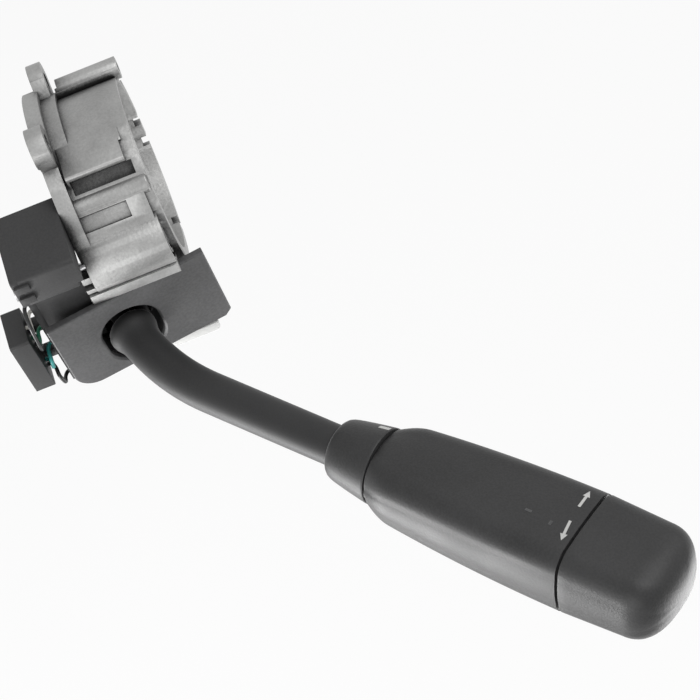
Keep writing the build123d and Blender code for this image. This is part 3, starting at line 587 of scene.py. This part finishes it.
def buildBladeTree():
    tree = bpy.data.node_groups.new("bladeRows", "GeometryNodeTree")
    addSocket = tree.interface.new_socket
    addSocket(name="Places", in_out="INPUT", socket_type="NodeSocketGeometry")
    sockets = {
        "size": addSocket(name="Blade Size", in_out="INPUT", socket_type="NodeSocketVector").identifier,
        "taper": addSocket(name="Tip Taper", in_out="INPUT", socket_type="NodeSocketFloat").identifier,
        "finish": addSocket(name="Finish", in_out="INPUT", socket_type="NodeSocketMaterial").identifier,
    }
    addSocket(name="Blades", in_out="OUTPUT", socket_type="NodeSocketGeometry")
    given = tree.nodes.new("NodeGroupInput").outputs
    out = tree.nodes.new("NodeGroupOutput").inputs
    bar = addNode(tree, "GeometryNodeMeshCube", Size=given["Blade Size"], Vertices_Y=6).outputs["Mesh"]
    place = tree.nodes.new("GeometryNodeInputPosition").outputs[0]
    split = addNode(tree, "ShaderNodeSeparateXYZ", Vector=place).outputs
    length = addNode(tree, "ShaderNodeSeparateXYZ", Vector=given["Blade Size"]).outputs["Y"]
    along = mathNode(tree, "DIVIDE", split["Y"], length)
    slim = mapRange(tree, along, 0.25, 0.5, 1.0, given["Tip Taper"])        # over the last quarter
    slimX = mathNode(tree, "MULTIPLY", split["X"], slim)
    slimZ = mathNode(tree, "MULTIPLY", split["Z"], slim)
    moved = addNode(tree, "ShaderNodeCombineXYZ", X=slimX, Y=split["Y"], Z=slimZ).outputs[0]
    blade = addNode(tree, "GeometryNodeSetPosition", Geometry=bar, Position=moved).outputs[0]
    rows = addNode(tree, "GeometryNodeInstanceOnPoints", Points=given["Places"], Instance=blade).outputs[0]
    real = addNode(tree, "GeometryNodeRealizeInstances", Geometry=rows).outputs[0]
    dressed = addNode(tree, "GeometryNodeSetMaterial", Geometry=real, Material=given["Finish"]).outputs[0]
    tree.links.new(dressed, out["Blades"])
    return tree, sockets


connectorSizes = {
    "left": -36.0, "bottom": -28.8, "width": 12.4, "height": 23.0, "front": 23.5, "rear": 26.2,
    "columns": (0.27, 0.73), "rows": (0.14, 0.38, 0.62, 0.86), "blade": (0.8, 2.4), "taper": 0.35,
}


def buildConnectorBlades():
    sizes = connectorSizes
    tree, sockets = buildBladeTree()
    y = (sizes["front"] + sizes["rear"]) / 2
    places = [
        Vector((sizes["left"] + sizes["width"] * column, y, sizes["bottom"] + sizes["height"] * row)) * mm
        for column in sizes["columns"] for row in sizes["rows"]
    ]
    mesh = bpy.data.meshes.new("connectorBlades")
    mesh.from_pydata([tuple(place) for place in places], [], [])
    piece = placeInScene("connectorBlades", mesh)
    rows = piece.modifiers.new("bladeRows", "NODES")
    rows.node_group = tree
    rows[sockets["size"]] = tuple(
        size * mm for size in (sizes["blade"][0], sizes["rear"] - sizes["front"], sizes["blade"][1])
    )
    rows[sockets["taper"]] = sizes["taper"]
    rows[sockets["finish"]] = finishes["brass"]
    applyModifiers(piece)
    dress(piece, "brass", "root", "connector_pins")
    print("connector blades:", len(places))


# The grip: collar, turning sleeve and press cap, along the grip's own axis

def ringMesh(name, rings, closed, toWorld):
    mesh = bpy.data.meshes.new(name)
    shape = bmesh.new()
    loops = [[shape.verts.new(toWorld @ Vector(point)) for point in ring] for ring in rings]
    pairs = list(zip(loops, loops[1:]))
    if closed:
        pairs.append((loops[-1], loops[0]))
    for lower, upper in pairs:
        for index in range(len(lower)):
            after = (index + 1) % len(lower)
            shape.faces.new((lower[index], lower[after], upper[after], upper[index]))
    if not closed:
        shape.faces.new(list(reversed(loops[0])))
        shape.faces.new(loops[-1])
    bmesh.ops.recalc_face_normals(shape, faces=shape.faces)
    shape.to_mesh(mesh)
    shape.free()
    return mesh


flatCrown = 0.45        # mm by which the grip's flats bulge
leastCorner = 0.4        # mm


def roundedSection(width, depth, corner, height, crown=flatCrown, arcSteps=10, flatSteps=12):
    points = []
    halfX, halfY = width / 2 - crown, depth / 2 - crown
    corner = min(corner, halfX, halfY)
    for signX, signY, turn in ((1, 1, 0), (-1, 1, 90), (-1, -1, 180), (1, -1, 270)):
        for step in range(arcSteps + 1):
            angle = math.radians(turn + 90 * step / arcSteps)
            points.append((
                signX * (halfX - corner) + corner * math.cos(angle),
                signY * (halfY - corner) + corner * math.sin(angle),
            ))
        after = math.radians(turn + 90)
        length = 2 * ((halfX if turn % 180 == 0 else halfY) - corner)
        lastX, lastY = points[-1]
        for step in range(1, flatSteps):
            share = step / flatSteps
            lift = crown * (1 - (2 * share - 1) ** 2)
            points.append((
                lastX + length * share * -math.sin(after) + lift * math.cos(after),
                lastY + length * share * math.cos(after) + lift * math.sin(after),
            ))
    return [(x, y, height) for x, y in points]


def circleSection(radius, height, like):
    turns = [math.atan2(y, x) for x, y, _ in like]
    return [(radius * math.cos(turn), radius * math.sin(turn), height) for turn in turns]


sleeveSizes = {        # mm along and across the grip; each size is a width, a depth and a corner radius
    "start": 14.3, "shoulder": 22.0, "end": 72.32, "lip": 0.3,
    "startSize": (21.2, 18.6, 7.5), "shoulderSize": (25.9, 20.6, 6.4), "endSize": (29.6, 23.2, 6.2),
    "land": 7.1, "cavity": 9.1, "landEnd": 21.8,
    "startSlope": 1.6, "fineStep": 0.55, "fineBeyond": 2, "coarseStep": 2.0, "lastGap": 0.8,
}


def hermite(start, end, slopeStart, slopeEnd, share, span):
    s2, s3 = share ** 2, share ** 3
    return (
        (2 * s3 - 3 * s2 + 1) * start + (s3 - 2 * s2 + share) * slopeStart * span
        + (-2 * s3 + 3 * s2) * end + (s3 - s2) * slopeEnd * span
    )


def sleeveSize(place):
    sizes = sleeveSizes
    flank = sizes["end"] - sizes["shoulder"]
    if place >= sizes["shoulder"]:
        swell = 1 - (1 - (place - sizes["shoulder"]) / flank) ** 2
        return [a + (b - a) * swell for a, b in zip(sizes["shoulderSize"], sizes["endSize"])]
    span = sizes["shoulder"] - sizes["start"]
    share = (place - sizes["start"]) / span
    result = []
    for index, (a, b) in enumerate(zip(sizes["startSize"], sizes["shoulderSize"])):
        slopeEnd = 2 * (sizes["endSize"][index] - b) / flank
        result.append(hermite(a, b, sizes["startSlope"] * (b - a) / span, slopeEnd, share, span))
    return result


def insetSize(size, inset):
    width, depth, corner = size
    return width - 2 * inset, depth - 2 * inset, max(corner - inset, leastCorner)


def lipRings(size, place, lip, inwards, steps=4):
    rings = []
    for step in range(steps + 1):
        angle = math.radians(90 * step / steps)
        inset = lip * (1 - math.sin(angle))
        along = lip * (1 - math.cos(angle))
        rings.append(roundedSection(*insetSize(size, inset), place + inwards * along))
    return rings


def buildSleeve():
    sizes = sleeveSizes
    lip = sizes["lip"]
    rings = lipRings(sleeveSize(sizes["start"] + lip), sizes["start"], lip, 1)
    place = sizes["start"] + lip
    while place < sizes["end"] - lip - sizes["lastGap"]:
        fine = place < sizes["shoulder"] + sizes["fineBeyond"]
        place += sizes["fineStep"] if fine else sizes["coarseStep"]
        rings.append(roundedSection(*sleeveSize(place), place))
    rings += reversed(lipRings(sleeveSize(sizes["end"]), sizes["end"], lip, -1))
    like = rings[0]
    for radius, place in (
        (sizes["cavity"], sizes["end"]), (sizes["cavity"], sizes["landEnd"]),
        (sizes["land"], sizes["landEnd"]), (sizes["land"], sizes["start"]),
    ):
        rings.append(circleSection(radius, place, like))
    mesh = ringMesh("gripSleeve", rings, True, gripMatrix)
    smoothByAngle(mesh, "round")
    addPiece("gripSleeve", mesh, "grip_plastic", "sleeve", "twist_sleeve")
    print("grip sleeve built")


capSizes = {        # as the sleeve's; the end is a superellipse, whose last ring stops short of the pole
    "start": 73.16, "end": 100.2, "startSize": (29.6, 23.2, 6.2), "endSize": (28.8, 22.4, 6.4),
    "lip": 0.3, "rounding": 10.5, "squareness": 2.5, "bore": 9.4, "floor": 88.0,
    "sideRings": 7, "endRings": 24, "lastTurn": 89.7, "floorCentre": 0.4,
}


def buildPressCap():
    sizes = capSizes
    lip, rounding = sizes["lip"], sizes["rounding"]
    rings = lipRings(sizes["startSize"], sizes["start"], lip, 1)
    straight = sizes["end"] - rounding
    for step in range(1, sizes["sideRings"] + 1):
        share = step / sizes["sideRings"]
        size = [a + (b - a) * share for a, b in zip(sizes["startSize"], sizes["endSize"])]
        rings.append(roundedSection(*size, sizes["start"] + lip + (straight - sizes["start"] - lip) * share))
    width, depth, corner = sizes["endSize"]
    power = 2 / sizes["squareness"]
    for step in range(1, sizes["endRings"] + 1):
        angle = math.radians(sizes["lastTurn"] * step / sizes["endRings"])
        shrink = math.cos(angle) ** power
        height = straight + rounding * math.sin(angle) ** power
        cornerHere = shrink * (corner + (depth / 2 - corner) * (1 - shrink))
        rings.append(roundedSection(
            width * shrink, depth * shrink, cornerHere, height, flatCrown * shrink,
        ))
    inner = [circleSection(radius, place, rings[0]) for radius, place in (
        (sizes["floorCentre"], sizes["floor"]), (sizes["bore"], sizes["floor"]),
        (sizes["bore"], sizes["start"]),
    )]
    mesh = ringMesh("pressCap", inner + rings, False, gripMatrix)
    smoothByAngle(mesh, "round")
    addPiece("pressCap", mesh, "grip_plastic", "cap", "end_cap")
    print("press cap built")


collarProfile = [        # radius and place along the axis, from the bore round the outside and back
    (5.65, 5.0), (5.65, 0.25), (6.1, 0.0), (6.8, 0.1), (7.5, 0.5), (8.05, 1.1), (8.4, 1.9), (8.65, 2.8),
    (9.0, 4.5), (9.55, 7.5), (10.05, 10.5), (10.45, 13.1), (10.5, 13.6), (10.35, 13.85), (10.0, 13.9),
    (7.05, 13.9), (7.05, 5.0),
]


def buildCollar(steps=96):
    turns = [2 * math.pi * step / steps for step in range(steps)]
    rings = [
        [(radius * math.cos(turn), radius * math.sin(turn), height) for turn in turns]
        for radius, height in collarProfile
    ]
    mesh = ringMesh("indexCollar", rings, True, gripMatrix)
    smoothByAngle(mesh, "moulded")
    addPiece("indexCollar", mesh, "grip_plastic", "lever", "index_collar")
    print("collar built")


# Printed marks, as thin raised ink that follows the surface below

markSizes = {        # mm across and along the grip; the index mark starts with its turn in degrees
    "thickness": 0.05, "cell": 0.22,
    "arrows": (((3.8, 69.15), (9.7, 68.95)), ((-1.2, 69.6), (-7.4, 70.5))),
    "shaft": 0.72, "head": (2.0, 1.9),
    "index": (62.0, 10.3, 13.4, 1.5),
    "faint": ((-3.4, 58.0, 0.7, 1.8), (-4.6, 65.2, 1.3, 0.8)),
}


def sleeveTop(x, place):
    width, depth, corner = sleeveSize(place)
    half = width / 2 - flatCrown - min(corner, depth / 2 - flatCrown)
    return depth / 2 - flatCrown * min(x / half, 1) ** 2


def collarTop(place):
    profile = collarProfile[2:14]        # the outside, without the bore
    for (r0, z0), (r1, z1) in zip(profile, profile[1:]):
        if z0 <= place <= z1:
            return r0 + (r1 - r0) * (place - z0) / (z1 - z0)
    return profile[-1][0]


def inkMesh(shape, outline, cell, toSurface, thickness):
    lowU, highU = min(u for u, _ in outline), max(u for u, _ in outline)
    stepsU = max(1, round((highU - lowU) / cell))
    flat = bmesh.new()
    flat.faces.new([flat.verts.new((u, v, 0)) for u, v in outline])
    for step in range(1, stepsU):
        bmesh.ops.bisect_plane(
            flat, geom=flat.verts[:] + flat.edges[:] + flat.faces[:],
            plane_co=(lowU + (highU - lowU) * step / stepsU, 0, 0), plane_no=(1, 0, 0),
        )
    flat.verts.ensure_lookup_table()
    top = {vert.index: shape.verts.new(toSurface(vert.co.x, vert.co.y, thickness)) for vert in flat.verts}
    low = {vert.index: shape.verts.new(toSurface(vert.co.x, vert.co.y, -thickness)) for vert in flat.verts}
    for face in flat.faces:
        loop = [vert.index for vert in face.verts]
        shape.faces.new([top[index] for index in loop])
        shape.faces.new([low[index] for index in reversed(loop)])
    for edge in flat.edges:
        if len(edge.link_faces) == 1:
            a, b = (vert.index for vert in edge.verts)
            shape.faces.new((top[a], low[a], low[b], top[b]))
    flat.free()


def inkPiece(name, outlines, toSurface, slotName, body):
    shape = bmesh.new()
    for outline in outlines:
        inkMesh(shape, outline, markSizes["cell"], toSurface, markSizes["thickness"])
    bmesh.ops.recalc_face_normals(shape, faces=shape.faces)
    mesh = bpy.data.meshes.new(name)
    shape.to_mesh(mesh)
    shape.free()
    addPiece(name, mesh, slotName, body)


def onSleeve(x, place, lift):
    return gripMatrix @ Vector((x, sleeveTop(x, place) + lift, place))


def onCollar(turn, place, lift):
    radius = collarTop(place) + lift
    angle = math.radians(turn)
    return gripMatrix @ Vector((radius * math.cos(angle), radius * math.sin(angle), place))


def arrowOutline(tail, tip):
    tail, tip = Vector(tail), Vector(tip)
    along = (tip - tail).normalized()
    side = Vector((-along.y, along.x))
    headLength, headWidth = markSizes["head"]
    neck = tip - along * headLength
    half = markSizes["shaft"] / 2
    return [tuple(point) for point in (
        tail - side * half, neck - side * half, neck - side * headWidth / 2, tip,
        neck + side * headWidth / 2, neck + side * half, tail + side * half,
    )]


def box2d(u, v, width, height):
    return [(u, v), (u + width, v), (u + width, v + height), (u, v + height)]


def buildMarks():
    sizes = markSizes
    inkPiece("arrowMarks", [arrowOutline(*arrow) for arrow in sizes["arrows"]], onSleeve, "marks", "sleeve")
    turn, start, end, width = sizes["index"]
    degrees = math.degrees(width / collarTop(start))
    strip = box2d(turn - degrees / 2, start, degrees, end - start)
    inkPiece("indexMark", [strip], onCollar, "marks", "lever")
    inkPiece("wornMarks", [box2d(*size) for size in sizes["faint"]], onSleeve, "faint_marks", "sleeve")
    print("marks built")


def buildPlungerSpring():
    piece = mergedCopy("turn_plunger_spring", "plungerSpring")
    smoothByAngle(piece.data, "round")
    dress(piece, "steel", "carrier", "turn_plunger_spring")
    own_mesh(piece)
    print("plunger spring built")


for build in (
    buildLeverArm, buildLeads, buildConnectorBlades, buildSleeve, buildPressCap, buildCollar, buildMarks,
    buildPlungerSpring,
):
    build()

# Every node that no piece replaces gets its finish too
otherFinishes = {"lever_carrier": "drum_plastic", "turn_detent_track": "drum_plastic"}
recordSlots = {part["node"]: part["material_slot"] for part in frame["record"]["subparts"]}
for node, shown in frame["nodes"].items():
    shown.data.materials.clear()
    shown.data.materials.append(finishes[otherFinishes.get(node, recordSlots[node])])
print("pieces dressed")


# Camera, light and floor

cameraSizes = {        # lens and sensor in mm, place in metres, roll in degrees about the optical axis
    "lens": 136.8, "sensor": 36.0, "place": (-0.45021, -0.07815, 0.56277), "roll": -0.5,
    "right": (-0.28382676, -0.93316022, -0.22057736), "up": (0.78545679, -0.35820665, 0.50472332),
    "back": (-0.55, -0.03, 0.83462566),
}


def buildCamera():
    sizes = cameraSizes
    data = bpy.data.cameras.new("stalkCamera")
    data.lens = sizes["lens"]
    data.sensor_width = sizes["sensor"]
    camera = placeInScene("stalkCamera", data)
    turn = Matrix((sizes["right"], sizes["up"], sizes["back"])).transposed().to_4x4()
    roll = Matrix.Rotation(math.radians(sizes["roll"]), 4, "Z")
    camera.matrix_world = Matrix.Translation(sizes["place"]) @ turn @ roll
    bpy.context.scene.camera = camera


lightSizes = {        # place, target, side of the square, watts
    "overheadSoftbox": ((-0.15, -0.55, 0.70), (-0.08, -0.03, -0.02), 0.7, 4.0),
    "sideSoftbox": ((-0.75, 0.35, 0.15), (-0.08, -0.03, -0.02), 0.6, 2.3),
    "lowSoftbox": ((-0.183, 0.274, -0.253), (-0.12, -0.07, -0.022), 0.26, 3.0),
    "endSoftbox": ((-0.18, -0.24, -0.272), (-0.165, -0.112, -0.022), 0.18, 0.65),
}
# In metres, with the strength at which the world lights the object and how much of its shadow the floor shows
backdropSizes = {
    "height": -0.30, "half": 3.0, "plain": 0.45, "shadowShare": 0.12,
    "colour": (0.8, 0.8, 0.8, 1), "roughness": 0.9,
}


def addLamp(name, place, target, side, power):
    data = bpy.data.lights.new(name, "AREA")
    data.size = side
    data.energy = power
    lamp = placeInScene(name, data)
    lamp.location = place
    lamp.rotation_euler = (Vector(target) - Vector(place)).to_track_quat("-Z", "Y").to_euler()


def seenRays(tree):
    path = tree.nodes.new("ShaderNodeLightPath").outputs
    seen = mathNode(tree, "MAXIMUM", path["Is Camera Ray"], path["Is Glossy Ray"])
    return mathNode(tree, "MAXIMUM", seen, path["Is Transmission Ray"])


def buildFloor():
    sizes = backdropSizes
    mesh = bpy.data.meshes.new("paleFloor")
    shape = bmesh.new()
    bmesh.ops.create_grid(shape, x_segments=1, y_segments=1, size=sizes["half"])
    bmesh.ops.translate(shape, verts=shape.verts, vec=(0, 0, sizes["height"]))
    shape.to_mesh(mesh)
    shape.free()
    floor = placeInScene("paleFloor", mesh)
    material = bpy.data.materials.new("paleFloor")
    material.use_nodes = True
    tree = material.node_tree
    shader = tree.nodes["Principled BSDF"]
    shader.inputs["Base Color"].default_value = sizes["colour"]
    shader.inputs["Roughness"].default_value = sizes["roughness"]
    shader.inputs["Specular IOR Level"].default_value = 0.0
    white = addNode(tree, "ShaderNodeEmission", Color=(1, 1, 1, 1), Strength=1.0)
    mix = tree.nodes.new("ShaderNodeMixShader")
    share = mathNode(tree, "MULTIPLY", seenRays(tree), 1.0 - sizes["shadowShare"])
    tree.links.new(share, mix.inputs[0])
    tree.links.new(shader.outputs[0], mix.inputs[1])
    tree.links.new(white.outputs[0], mix.inputs[2])
    tree.links.new(mix.outputs[0], tree.nodes["Material Output"].inputs["Surface"])
    mesh.materials.append(material)


def buildWorld():
    world = bpy.data.worlds.new("studioWorld")
    bpy.context.scene.world = world
    world.use_nodes = True
    tree = world.node_tree
    strength = mapRange(tree, seenRays(tree), 0.0, 1.0, backdropSizes["plain"], 1.0)
    background = tree.nodes["Background"]
    background.inputs["Color"].default_value = (1, 1, 1, 1)
    tree.links.new(strength, background.inputs["Strength"])


buildCamera()
buildFloor()
buildWorld()
for name, sizes in lightSizes.items():
    addLamp(name, *sizes)
bpy.context.scene.view_settings.view_transform = "Standard"
print("camera, lamps and floor set")
